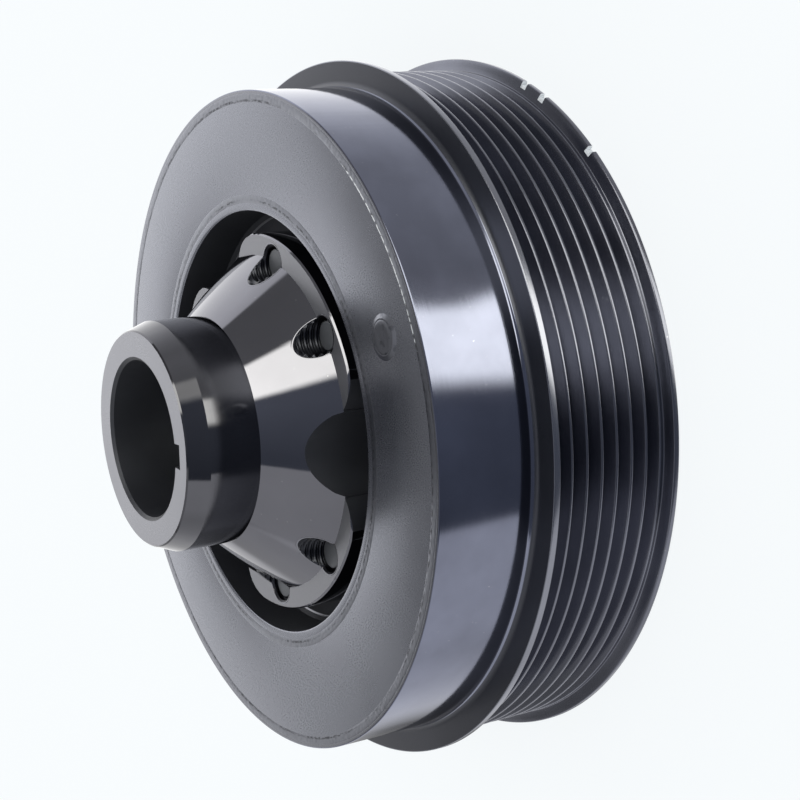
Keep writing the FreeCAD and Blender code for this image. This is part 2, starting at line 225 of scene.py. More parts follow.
def steel(name, color, rough, marks=0.0, marks_step=0.25, grain=0.0, grain_size=0.35, blotch=0.15, dust=0.0,
          metal=1.0):
    """Dark coated steel: turning marks, grain, uneven sheen and a little dust."""
    material, nodes, shader, place = new_material(name)
    cloud = nodes.noise(place, 38.0, 4.0, 0.55)
    fine = nodes.noise(place, 1000.0 / grain_size, 3.0, 0.6)
    shade = nodes.span(cloud, 0.35, 0.65, 1.0 - blotch, 1.0 + blotch)
    scaled = nodes.add("ShaderNodeVectorMath", operation="SCALE")
    base = nodes.put(scaled, Vector=color, Scale=shade).outputs[0]
    if dust:
        specks = nodes.noise(place, 1500.0, 2.0, 0.5)
        speck = nodes.span(specks, 0.74 - dust, 0.80 - dust)
        base = nodes.mix_color(nodes.times(speck, 0.35), base, (0.5, 0.5, 0.52))
    sheen = nodes.math("ADD", nodes.span(cloud, 0.3, 0.7, -0.12, 0.12), nodes.span(fine, 0.3, 0.7, -0.1, 0.1))
    roughness = nodes.times(nodes.math("ADD", sheen, 1.0), rough)
    nodes.put(shader, Base_Color=base, Roughness=roughness, Metallic=metal)
    normal = None
    if marks:
        normal = nodes.bump(turning_marks(nodes, place, marks_step), marks, 0.02 * MM)
    if grain:
        normal = nodes.bump(fine, grain, 0.05 * MM, normal)
    if normal is not None:
        nodes.put(shader, Normal=normal)
    return material


HOUSING_STEEL = steel("housing_steel", (0.177, 0.189, 0.250), 0.11, marks=0.22, marks_step=0.3, dust=0.01)
PULLEY_STEEL = steel("pulley_steel", (0.142, 0.148, 0.180), 0.20, marks=0.3, marks_step=0.2, dust=0.02)
RIM_STEEL = steel(
    "rim_steel", (0.068, 0.071, 0.086), 0.34, marks=0.15, marks_step=0.25, blotch=0.06, metal=0.85
)
EDGE_STEEL = steel("edge_steel", (0.215, 0.223, 0.262), 0.21, marks=0.2, marks_step=0.2, blotch=0.06)
COVER_STEEL = steel(
    "cover_steel", (0.240, 0.248, 0.286), 0.27, grain=0.08, grain_size=0.3, blotch=0.05, dust=0.01, metal=0.93
)
BAND_STEEL = steel("band_steel", (0.205, 0.210, 0.238), 0.22, marks=0.1, marks_step=0.2, blotch=0.06)
HUB_STEEL = steel(
    "hub_steel", (0.180, 0.181, 0.206), 0.050, marks=0.06, marks_step=0.2, blotch=0.06, dust=0.01
)
SNOUT_STEEL = steel("snout_steel", (0.094, 0.095, 0.107), 0.075, marks=0.08, marks_step=0.15, blotch=0.08)
FACE_STEEL = steel("face_steel", (0.285, 0.288, 0.318), 0.30, marks=0.03, marks_step=0.2, blotch=0.04)
FLANGE_STEEL = steel(
    "flange_steel", (0.278, 0.280, 0.304), 0.36, marks=0.03, marks_step=0.2, blotch=0.04, metal=0.9
)
INSIDE_STEEL = steel("inside_steel", (0.052, 0.054, 0.063), 0.45, marks=0.15, marks_step=0.4, metal=0.5)
SCREW_STEEL = steel("screw_steel", (0.070, 0.072, 0.084), 0.30, grain=0.2)
SCREW_END_STEEL = steel(
    "screw_end_steel", (0.150, 0.155, 0.168), 0.50, grain=0.3, grain_size=0.4, blotch=0.25, metal=0.6
)
THREAD_STEEL = steel("thread_steel", (0.040, 0.042, 0.050), 0.30)
RING_IRON = steel("ring_iron", (0.300, 0.300, 0.300), 0.40, marks=0.5, grain=0.4)
BRONZE = steel("bearing_bronze", (0.560, 0.400, 0.220), 0.35, marks=0.3, grain=0.2)


def plug_steel():
    """The cover's coating over a pressed head, with a few soft dark blotches."""
    material, nodes, shader, place = new_material("plug_steel")
    blots = nodes.span(nodes.noise(place, 620.0, 2.0, 0.5), 0.55, 0.66, smooth=True)
    color = nodes.mix_color(nodes.times(blots, 0.55), (0.225, 0.232, 0.266), (0.080, 0.083, 0.100))
    fine = nodes.noise(place, 2600.0, 3.0, 0.6)
    roughness = nodes.span(fine, 0.3, 0.7, 0.27, 0.35)
    normal = nodes.bump(fine, 0.15, 0.05 * MM)
    nodes.put(shader, Base_Color=color, Roughness=roughness, Metallic=1.0, Normal=normal)
    return material


def weld_steel():
    """Melted bead: as light as the cover beside it, with dark scale in short streaks and painted glints,
    bright dots where light catches the bead.
    """
    material, nodes, shader, place = new_material("weld_steel")
    radius, _, angle = round_axis(nodes, place)
    along = nodes.join(
        nodes.times(radius, 2200.0),
        nodes.times(nodes.math("SINE", angle), 55.0),
        nodes.times(nodes.math("COSINE", angle), 55.0),
    )
    streak = nodes.noise(along, 1.0, 4.0, 0.65)
    cloud = nodes.noise(place, 60.0, 2.0, 0.5)
    inner = band(nodes, radius, (INNER_SEAM_R - 0.45) * MM, (INNER_SEAM_R - 0.05) * MM, 0.12 * MM)
    outer = band(nodes, radius, (OUTER_SEAM_R - 0.80) * MM, (OUTER_SEAM_R - 0.35) * MM, 0.12 * MM)
    seam = nodes.math("ADD", nodes.math("MAXIMUM", inner, outer), 0.12, clamp=True)
    scale = nodes.times(nodes.span(streak, 0.44, 0.56), nodes.span(cloud, 0.32, 0.52), seam)
    base = nodes.mix_color(scale, (0.232, 0.240, 0.275), (0.070, 0.073, 0.086))
    # Painted glints: bright dots in a broken line on the outer seam, only on the side of the filler plug
    line = band(nodes, radius, (OUTER_SEAM_R - 0.82) * MM, (OUTER_SEAM_R - 0.52) * MM, 0.05 * MM)
    away = nodes.math("ABSOLUTE", nodes.math("SUBTRACT", angle, 0.52))
    density = nodes.span(away, 0.24, 0.44, 0.0, -0.50)
    glint_dots = nodes.span(nodes.math("ADD", nodes.noise(place, 1000.0, 2.0, 0.5), density), 0.44, 0.50)
    painted_glints = nodes.times(line, glint_dots)
    nodes.put(
        shader,
        Base_Color=nodes.mix_color(painted_glints, base, (0.72, 0.73, 0.74)),
        Metallic=nodes.math("SUBTRACT", 1.0, nodes.times(painted_glints, 0.85)),
        Roughness=nodes.span(scale, 0.0, 1.0, 0.28, 0.45),
        Normal=nodes.bump(streak, 0.3, 0.06 * MM),
    )
    return material


def white_paint():
    """Timing marks' paint, worn through in places."""
    material, nodes, shader, place = new_material("timing_paint")
    wear = nodes.noise(place, 2200.0, 4.0, 0.6)
    color = nodes.mix_color(nodes.span(wear, 0.56, 0.66), (0.82, 0.84, 0.86), (0.42, 0.43, 0.45))
    nodes.put(shader, Base_Color=color, Roughness=0.55, Normal=nodes.bump(wear, 0.4, 0.05 * MM))
    return material


TIMING_PAINT = white_paint()
PLUG_STEEL = plug_steel()
WELD_STEEL = weld_steel()

# Materials of the housing and the hub, in slot order, with the names that their faces are given by
HOUSING_LOOKS = [
    HOUSING_STEEL, PULLEY_STEEL, COVER_STEEL, INSIDE_STEEL, FACE_STEEL, TIMING_PAINT, BAND_STEEL, RIM_STEEL,
    EDGE_STEEL,
]
WALL, PULLEY, SEAM, INSIDE, FACE, PAINT, BAND, RIM, EDGE = range(9)
HUB_LOOKS = [HUB_STEEL, FLANGE_STEEL, SNOUT_STEEL, INSIDE_STEEL, FACE_STEEL]
CONE, FLANGE, SNOUT, HOLLOW, SNOUT_FACE = range(5)


# Shape helpers

def finish_mesh(name, points, faces, materials, body="damper", slot=None, sharp=30.0):
    """Makes an object of a mesh given in millimetres and lets it ride on a body."""
    mesh = bpy.data.meshes.new(name)
    mesh.from_pydata([Vector(point) * MM for point in points], [], faces)
    mesh.validate()
    piece = bpy.data.objects.new(name, mesh)
    bpy.context.scene.collection.objects.link(piece)
    for material in materials:
        mesh.materials.append(material)
    mesh.shade_smooth()
    mesh.set_sharp_from_angle(angle=math.radians(sharp))
    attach(piece, body)
    return piece


def lathe(name, sections, materials, turns=ROUND, reach=None, **settings):
    """Turns a closed section of (radius, height, material) corners round the axis. Turns is a number of
    even steps or a list of angles, and reach may change a corner's radius at an angle."""
    if isinstance(turns, int):
        turns = [2 * math.pi * step / turns for step in range(turns)]
    steps = len(turns)
    points = []
    faces = []
    slots = []
    count = len(sections)
    for radius, height, _ in sections:
        for turn in turns:
            here = reach(radius, height, turn) if reach else radius
            points.append((here * math.cos(turn), here * math.sin(turn), height))
    for index in range(count):
        after = (index + 1) % count
        for step in range(steps):
            there = (step + 1) % steps
            faces.append((
                index * steps + step, index * steps + there, after * steps + there, after * steps + step
            ))
            slots.append(sections[index][2])
    piece = finish_mesh(name, points, faces, materials, **settings)
    for face, material in zip(piece.data.polygons, slots):
        face.material_index = material
    return piece


def rounded(corners, steps=4):
    """Section corners (radius, height, material, rounding) with each corner rounded."""
    out = []
    count = len(corners)
    for index, (radius, height, material, rounding) in enumerate(corners):
        here = Vector((radius, height))
        if rounding <= 0:
            out.append((radius, height, material))
            continue
        before = Vector(corners[index - 1][:2]) - here
        after = Vector(corners[(index + 1) % count][:2]) - here
        reach = min(rounding, before.length * 0.45, after.length * 0.45)
        first = here + before.normalized() * reach
        last = here + after.normalized() * reach
        for step in range(steps + 1):
            share = step / steps
            point = first * (1 - share) ** 2 + here * 2 * share * (1 - share) + last * share ** 2
            out.append((point.x, point.y, material if step == steps else corners[index - 1][2]))
    return out


def polar(radius, angle, height=0.0):
    turn = math.radians(angle)
    return Vector((radius * math.cos(turn), radius * math.sin(turn), height))


# Housing with the pulley

def rib_section():
    """The V grooves' corners from the front rim to the back one, with rounded tips."""
    half = math.radians(GROOVE_ANGLE / 2)
    centre = RIB_R - GROOVE_DEPTH + GROOVE_ROOT_R
    touch = centre - GROOVE_ROOT_R * math.sin(half)
    root_half = GROOVE_ROOT_R * math.cos(half)
    mouth_half = root_half + (RIB_R - touch) * math.tan(half)
    corners = []
    for number in range(RIB_COUNT):
        middle = FIRST_GROOVE + number * RIB_PITCH
        corners.append((RIB_R, middle - mouth_half, PULLEY, 0.22))
        corners.append((touch, middle - root_half, PULLEY, 0.0))
        for step in range(1, 6):
            turn = math.radians(-70 + 140 * step / 6)
            corners.append((
                centre - GROOVE_ROOT_R * math.cos(turn), middle + GROOVE_ROOT_R * math.sin(turn), PULLEY, 0.0
            ))
        corners.append((touch, middle + root_half, PULLEY, 0.0))
        corners.append((RIB_R, middle + mouth_half, PULLEY, 0.22))
    return corners


def notch_turns():
    """Even steps round the housing, with four more at each timing notch: its walls and floor."""
    half = NOTCH_WIDTH / 2 / RIM_R
    turns = [2 * math.pi * step / ROUND for step in range(ROUND)]
    for angle in NOTCH_ANGLES:
        middle = math.radians(angle)
        turns = [turn for turn in turns if abs(turn - middle) > half * 1.3]
        turns += [middle - half * 1.02, middle - half * 0.98, middle + half * 0.98, middle + half * 1.02]
    return sorted(turns)


def in_notch(turn, share=1.0):
    """Whether an angle lies inside this share of a notch's width."""
    half = NOTCH_WIDTH / 2 / RIM_R * share
    return any(abs(turn - math.radians(angle)) < half for angle in NOTCH_ANGLES)


def notched(radius, height, turn):
    """Radius of the front rim's corners, cut back to the notch's floor inside a notch."""
    floor = RIM_R - NOTCH_DEPTH
    if height < FRONT_RIM + RIM_SLOPE and radius > floor and in_notch(turn):
        return floor
    return radius


def arc(centre, radius, first, last, material, steps):
    """Section corners on an arc; angles count from the outward direction towards the back."""
    corners = []
    for step in range(steps + 1):
        turn = math.radians(first + (last - first) * step / steps)
        corners.append((
            centre[0] + radius * math.cos(turn), centre[1] + radius * math.sin(turn), material, 0.0
        ))
    return corners


def make_housing():
    """Corners run from the front recess over the rims and grooves to the back, and in through the opening."""
    slope = RIM_SLOPE / (RIM_R - RIB_R)
    floor = RIM_R - NOTCH_DEPTH
    paint_end = floor - 0.5
    root = (HOUSING_R + ROOT_FILLET, PULLEY_LENGTH + ROOT_FILLET)
    outer = [
        (RECESS_R, 0.8, PULLEY, 0.2),
        (RECESS_R + 0.8, 0.0, PULLEY, 0.2),
        (RIM_R, 0.0, PULLEY, 0.25),
        (RIM_R, FRONT_RIM, PULLEY, 0.3),
        (floor, FRONT_RIM + slope * NOTCH_DEPTH, PULLEY, 0.0),
        (paint_end, FRONT_RIM + slope * (RIM_R - paint_end), PULLEY, 0.0),
        (RIB_R, FRONT_RIM + RIM_SLOPE, PULLEY, 0.15),
    ]
    outer += rib_section()
    outer += [
        (RIB_R, PULLEY_LENGTH - BACK_RIM - RIM_SLOPE, PULLEY, 0.15),
        (RIM_R, PULLEY_LENGTH - BACK_RIM, EDGE, 0.15),
        (RIM_R, PULLEY_LENGTH, RIM, 0.25),
    ]
    outer += arc(root, ROOT_FILLET, 270, 225, RIM, 6)
    outer += arc(root, ROOT_FILLET, 217.5, 180, WALL, 5)
    outer += [
        (HOUSING_R, LENGTH, BAND, 0.25),
        (OUTER_SEAM_R + SEAM_WIDTH / 2, LENGTH, SEAM, 0.1),
        (OUTER_SEAM_R, LENGTH - SEAM_DEPTH, SEAM, 0.0),
        (OUTER_SEAM_R, LENGTH - COVER_THICKNESS, INSIDE, 0.0),
        (CHAMBER_OUT_R, LENGTH - COVER_THICKNESS, INSIDE, 0.0),
        (CHAMBER_OUT_R, CHAMBER_FLOOR, INSIDE, 0.0),
        (CHAMBER_IN_R, CHAMBER_FLOOR, INSIDE, 0.0),
        (CHAMBER_IN_R, LENGTH - COVER_THICKNESS, INSIDE, 0.0),
        (INNER_SEAM_R, LENGTH - COVER_THICKNESS, INSIDE, 0.0),
        (INNER_SEAM_R, LENGTH - SEAM_DEPTH, SEAM, 0.0),
        (INNER_SEAM_R - SEAM_WIDTH / 2, LENGTH, SEAM, 0.1),
        (OPENING_R, LENGTH, INSIDE, 0.4),
        (OPENING_R, WEB_BACK + WEB_CORNER, INSIDE, 0.15),
        # A thin strip of the lighter face steel on the web's rounded corner: a painted highlight line
        (OPENING_R - 0.8, WEB_BACK + 0.3, FACE, 0.0),
        (OPENING_R - WEB_CORNER, WEB_BACK, INSIDE, 0.1),
        (SPIGOT_HOLE_R, WEB_BACK, INSIDE, 0.0),
        (SPIGOT_HOLE_R, WEB_FRONT, INSIDE, 0.0),
        (RECESS_R, WEB_FRONT, INSIDE, 2.0),
    ]
    piece = lathe(
        "housing_shell", rounded(outer), HOUSING_LOOKS, turns=notch_turns(), reach=notched, slot="black_steel"
    )
    for face in piece.data.polygons:
        centre = face.center / MM
        radius = math.hypot(centre.x, centre.y)
        turn = math.atan2(centre.y, centre.x)
        painted = centre.z < FRONT_RIM + RIM_SLOPE and paint_end < radius < floor + 0.6
        if painted and in_notch(turn, 1.01):
            face.material_index = PAINT
    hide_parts("housing")
    return piece


def make_cover():
    """Flat cover ring with a weld groove along each edge."""
    inner = INNER_SEAM_R + SEAM_GAP
    outer = OUTER_SEAM_R - SEAM_GAP
    corners = [
        (inner, LENGTH - SEAM_DEPTH, 0, 0.0),
        (inner, LENGTH - COVER_THICKNESS, 0, 0.0),
        (outer, LENGTH - COVER_THICKNESS, 0, 0.0),
        (outer, LENGTH - SEAM_DEPTH, 0, 0.0),
        (outer - SEAM_WIDTH / 2, LENGTH, 0, 0.12),
        (inner + SEAM_WIDTH / 2, LENGTH, 0, 0.12),
    ]
    piece = lathe("cover_ring", rounded(corners), [COVER_STEEL], slot="cover_steel")
    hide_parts("cover_plate")
    return piece


def make_weld(name, seam, node):
    """Flat, slightly uneven weld bead over a seam."""
    steps = 1400
    across = 9
    points = []
    faces = []
    for step in range(steps):
        turn = 2 * math.pi * step / steps
        direction = Vector((math.cos(turn), math.sin(turn), 0))
        for index in range(across):
            share = index / (across - 1) * 2 - 1
            wander = noise.noise(direction * seam * 0.5) * 0.10
            radius = seam + wander + share * (SEAM_WIDTH / 2 + 0.22)
            where = Vector((direction.x * radius, direction.y * radius, 0))
            rough = noise.fractal(where * 1.6, 0.8, 2.1, 4) * 0.03
            crown = 0.015 * (1 - share * share)
            height = LENGTH + 0.02 + crown + rough * (1 - share ** 4) - 0.025 * share ** 8
            points.append((radius * direction.x, radius * direction.y, height))
    for step in range(steps):
        there = (step + 1) % steps
        for index in range(across - 1):
            faces.append((
                step * across + index + 1, there * across + index + 1,
                there * across + index, step * across + index,
            ))
    piece = finish_mesh(name, points, faces, [WELD_STEEL], slot="weld", sharp=80.0)
    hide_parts(node)
    return piece


def make_plug():
    """Filler plug with a sloping shoulder, a crease and a flat, slightly uneven middle."""
    centre = polar(PLUG_CIRCLE, PLUG_ANGLE)
    corners = [
        (0.001, LENGTH + 0.42, 0, 0.0),
        (0.001, LENGTH - COVER_THICKNESS + 0.1, 0, 0.0),
        (PLUG_R, LENGTH - COVER_THICKNESS + 0.1, 0, 0.0),
        (PLUG_R, LENGTH, 0, 0.0),
        (4.42, LENGTH, 0, 0.0),
        (3.52, LENGTH + 0.40, 0, 0.35),
        (3.27, LENGTH + 0.35, 0, 0.1),
        (3.05, LENGTH + 0.41, 0, 0.2),
        (2.4, LENGTH + 0.44, 0, 0.4),
        (1.2, LENGTH + 0.40, 0, 0.4),
    ]
    piece = lathe("filler_plug_head", rounded(corners), [PLUG_STEEL], turns=96, slot="plug_steel")
    for vertex in piece.data.vertices:
        vertex.co += centre * MM
    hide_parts("filler_plug")
    return piece


# Hub: the model's own mesh with exact normals, so that its polished cone mirrors cleanly

def cone_height(radius):
    """Height of the cone, or of the flange's face outside it."""
    if radius >= CONE_BASE_R:
        return FLANGE_FACE
    return FLANGE_FACE + (CONE_BASE_R - radius) * CONE_HEIGHT / (CONE_BASE_R - SEAL_R)


def screw_centres():
    """Centres of the tapped holes, as seen along the axis."""
    centres = []
    for lobe in range(LOBES):
        for side in (-1, 1):
            centres.append(polar(SCREW_CIRCLE, LOBE_ANGLE + lobe * 360 / LOBES + side * SCREW_SPREAD))
    return centres


def from_hole(point, centres):
    """Distance of a point from the nearest tapped hole's axis."""
    return min(math.hypot(point.x - hole.x, point.y - hole.y) for hole in centres)


def hub_surface(centre, flat, centres):
    """Material of the hub's surface at a face, and the radial part of its normal where it is a turned one."""
    radius = math.hypot(centre.x, centre.y)
    radial = flat.dot(Vector((centre.x, centre.y, 0)).normalized())
    upright = abs(flat.z) < UPRIGHT
    cone_top = FLANGE_FACE + CONE_HEIGHT
    if abs(flat.z) > LEVEL:
        if centre.z > cone_top:
            return SNOUT_FACE, None
        return (FLANGE if centre.z > FLANGE_FACE - 0.5 else CONE), None
    if upright and abs(from_hole(centre, centres) - THREAD_R) < 0.3:
        return HOLLOW, None
    turned = abs(math.hypot(flat.x, flat.y) - abs(radial)) < 0.02 and abs(radial) > 0.1
    scalloped = upright and SEAL_R + 3 < radius < MODEL_FLANGE_R - 0.5
    if not turned or scalloped:
        return (HOLLOW if upright else CONE), None
    if radius < BORE_R + 2.2 and radial < 0:
        return HOLLOW, radial
    return (SNOUT if centre.z > cone_top - 0.2 else CONE), radial


def hole_crossing(point, centres):
    """Point on the nearest hole's circle at the new foot of the cone, on the same side as before."""
    hole = min(centres, key=lambda centre: math.hypot(point.x - centre.x, point.y - centre.y))
    spread = math.acos(
        (SCREW_CIRCLE ** 2 + CONE_BASE_R ** 2 - THREAD_R ** 2) / (2 * SCREW_CIRCLE * CONE_BASE_R)
    )
    middle = math.atan2(hole.y, hole.x)
    side = 1 if (math.atan2(point.y, point.x) - middle + math.pi) % (2 * math.pi) > math.pi else -1
    turn = middle + side * spread
    return Vector((CONE_BASE_R * math.cos(turn), CONE_BASE_R * math.sin(turn), FLANGE_FACE))


def corner_start(corner):
    """Angle from a scallop's middle at which the lobe's rounded corner of this radius begins, in radians."""
    spoke = MODEL_FLANGE_R - corner
    span = SCALLOP_R + corner
    return math.acos((SCALLOP_CIRCLE ** 2 + spoke ** 2 - span ** 2) / (2 * SCALLOP_CIRCLE * spoke))


def lobe_reach(point, share):
    """Furthest radius of a lobe's outline at a point's angle, set in a little at the flange's upper edge."""
    third = 2 * math.pi / LOBES
    turn = math.atan2(point.y, point.x) - math.radians(LOBE_ANGLE) + third / 2
    off = abs((turn + third / 2) % third - third / 2)
    start = corner_start(LOBE_CORNER)
    if off >= start:
        reach = MODEL_FLANGE_R
    else:
        spoke = MODEL_FLANGE_R - LOBE_CORNER
        aside = spoke * math.sin(off - start)
        if abs(aside) >= LOBE_CORNER:
            return MODEL_FLANGE_R
        reach = spoke * math.cos(off - start) + math.sqrt(LOBE_CORNER ** 2 - aside ** 2)
    fade_width = 0.06
    fade = min(1.0, max(0.0, (off - corner_start(MODEL_LOBE_CORNER)) / fade_width + 1))
    return reach - FLANGE_EDGE * (1 - share) * fade


def refine_hub(mesh, centres):
    """Moves the copy's points: narrower bore, wider foot of the cone, finer flange edge, rounder lobes."""
    flat = set()
    wall = set()
    for face in mesh.polygons:
        if face.normal.z > LEVEL:
            flat.update(face.vertices)
        elif abs(face.normal.z) < UPRIGHT:
            wall.update(face.vertices)
    slope = CONE_HEIGHT / (MODEL_CONE_BASE_R - SEAL_R)
    edge_r = MODEL_FLANGE_R - MODEL_FLANGE_EDGE
    for vertex in mesh.vertices:
        point = vertex.co / MM
        radius = math.hypot(point.x, point.y)
        reach = radius
        height = point.z
        by_hole = from_hole(point, centres) < THREAD_R + 0.2
        on_cone = abs(height - FLANGE_FACE - (MODEL_CONE_BASE_R - radius) * slope) < 0.06
        if radius < MODEL_BORE_R + MODEL_BORE_EDGE + 0.05:
            share = max(0.0, (radius - MODEL_BORE_R) / MODEL_BORE_EDGE)
            reach = BORE_R + share * BORE_EDGE if radius > MODEL_BORE_R - 0.3 else radius
        elif on_cone and SEAL_R - 0.1 < radius < MODEL_CONE_BASE_R - 0.05:
            height = cone_height(radius)
        elif abs(height - FLANGE_FACE) < 0.06 and radius < CONE_BASE_R:
            if by_hole and vertex.index in wall and vertex.index not in flat:
                height = cone_height(radius)
            elif by_hole:
                vertex.co = hole_crossing(point, centres) * MM
                continue
            else:
                reach = CONE_BASE_R
        elif height > WEB_BACK - 0.05 and radius > CONE_BASE_R - 1.0 and not by_hole:
            share = min(1.0, max(0.0, (FLANGE_FACE - height) / MODEL_FLANGE_EDGE))
            if radius > edge_r - 0.03:
                reach = MODEL_FLANGE_R
            if height > FLANGE_FACE - MODEL_FLANGE_EDGE - 0.02:
                height = FLANGE_FACE - share * FLANGE_EDGE
            reach = min(reach, lobe_reach(point, share))
        vertex.co = Vector((point.x * reach / radius, point.y * reach / radius, height)) * MM


def make_hub():
    """Refined copy of the model's hub, with the normals of its turned surfaces worked out at each point."""
    centres = screw_centres()
    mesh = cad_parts["hub"].data.copy()
    refine_hub(mesh, centres)
    mesh.update()
    mesh.materials.clear()
    for material in HUB_LOOKS:
        mesh.materials.append(material)
    piece = bpy.data.objects.new("hub_turning", mesh)
    bpy.context.scene.collection.objects.link(piece)
    mesh.shade_smooth()
    mesh.set_sharp_from_angle(angle=math.radians(18))
    normals = [Vector(corner.vector) for corner in mesh.corner_normals]
    for face in mesh.polygons:
        face.material_index, radial = hub_surface(face.center / MM, face.normal, centres)
        for loop in face.loop_indices:
            if radial is not None:
                point = mesh.vertices[mesh.loops[loop].vertex_index].co
                outward = Vector((point.x, point.y, 0)).normalized()
                normals[loop] = (outward * radial + Vector((0, 0, face.normal.z))).normalized()
            elif abs(face.normal.z) > LEVEL:
                normals[loop] = face.normal.copy()
    mesh.normals_split_custom_set([normal[:] for normal in normals])
    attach(piece, "damper")
    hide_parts("hub")
    return piece


def make_threads():
    """Cut thread on the wall of each tapped hole, up to where the hole leaves the cone."""
    turns = 120
    rows = 56
    wall_r = THREAD_R + 0.02
    for number, hole in enumerate(screw_centres(), start=1):
        points = []
        faces = []
        for row in range(rows + 1):
            for step in range(turns):
                turn = 2 * math.pi * step / turns
                direction = Vector((math.cos(turn), math.sin(turn), 0))
                wall = hole + direction * wall_r
                top = cone_height(math.hypot(wall.x, wall.y)) - 0.02
                height = THREAD_BOTTOM + (top - THREAD_BOTTOM) * row / rows
                phase = (height / THREAD_PITCH - turn / (2 * math.pi)) % 1.0
                crest = max(0.0, 1 - abs(phase - 0.5) * 2.3)
                crest = min(crest, 0.8) / 0.8
                fade = min(1.0, (top - height) / 0.25 + 0.15)
                radius = wall_r - THREAD_DEPTH * crest * fade
                place = hole + direction * radius
                points.append((place.x, place.y, height))
        for row in range(rows):
            for step in range(turns):
                there = (step + 1) % turns
                faces.append((
                    row * turns + there, row * turns + step,
                    (row + 1) * turns + step, (row + 1) * turns + there,
                ))
        finish_mesh("hub_thread_%d" % number, points, faces, [THREAD_STEEL], slot="hub_steel", sharp=60.0)


def make_lips():
    """Rounded lip round the mouth of each tapped hole, where it leaves the cone and the flange's face."""
    turns = 120
    # How far out from the hole's wall and up from the cone each ring of points lies
    profile = ((0.32, 0.004), (0.20, 0.022), (0.08, 0.015), (0.0, -0.05), (-0.03, -0.16), (-0.03, -0.30))
    for number, hole in enumerate(screw_centres(), start=1):
        points = []
        faces = []
        for out, up in profile:
            for step in range(turns):
                place = hole + polar(THREAD_R + out, 360 * step / turns)
                points.append((place.x, place.y, cone_height(math.hypot(place.x, place.y)) + up))
        for row in range(len(profile) - 1):
            for step in range(turns):
                there = (step + 1) % turns
                faces.append((
                    (row + 1) * turns + step, (row + 1) * turns + there,
                    row * turns + there, row * turns + step,
                ))
        finish_mesh("hub_lip_%d" % number, points, faces, [HUB_STEEL], slot="hub_steel", sharp=60.0)


def make_screw_ends():
    """Rough flat ends of the screws, each with a rounded edge, just over the model's own."""
    corners = [
        (0.001, SCREW_END, 0, 0.0),
        (0.001, SCREW_END - 0.5, 0, 0.0),
        (SCREW_END_R, SCREW_END - 0.5, 0, 0.0),
        (SCREW_END_R, SCREW_END, 0, 0.3),
    ]
    for number, hole in enumerate(screw_centres(), start=1):
        piece = lathe(
            "screw_end_%d" % number, rounded(corners), [SCREW_END_STEEL], turns=64, slot="screw_steel"
        )
        for vertex in piece.data.vertices:
            vertex.co += hole * MM


def dress_nodes():
    """Materials of the pieces that keep the model's own shape."""
    looks = {"inertia_ring": RING_IRON, "bearing_front": BRONZE, "bearing_back": BRONZE}
    for number in range(1, 2 * LOBES + 1):
        looks["hub_screw_%d" % number] = SCREW_STEEL
    for name, material in looks.items():
        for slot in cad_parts[name].material_slots:
            slot.material = material


# Studio: white surround and floor; polished steel mirrors a soft light strip and a dark card

SURROUND = (0.955, 0.985, 1.0, 1.0)


def ramp(nodes, factor, stops):
    """Grey levels along a factor from 0 to 1."""
    node = nodes.add("ShaderNodeValToRGB")
    elements = node.color_ramp.elements
    elements[0].position, elements[1].position = stops[0][0], stops[-1][0]
    elements[0].color = (stops[0][1],) * 3 + (1.0,)
    elements[1].color = (stops[-1][1],) * 3 + (1.0,)
    for position, bright in stops[1:-1]:
        elements.new(position).color = (bright,) * 3 + (1.0,)
    nodes.link(factor, node.inputs[0])
    return node.outputs[0]


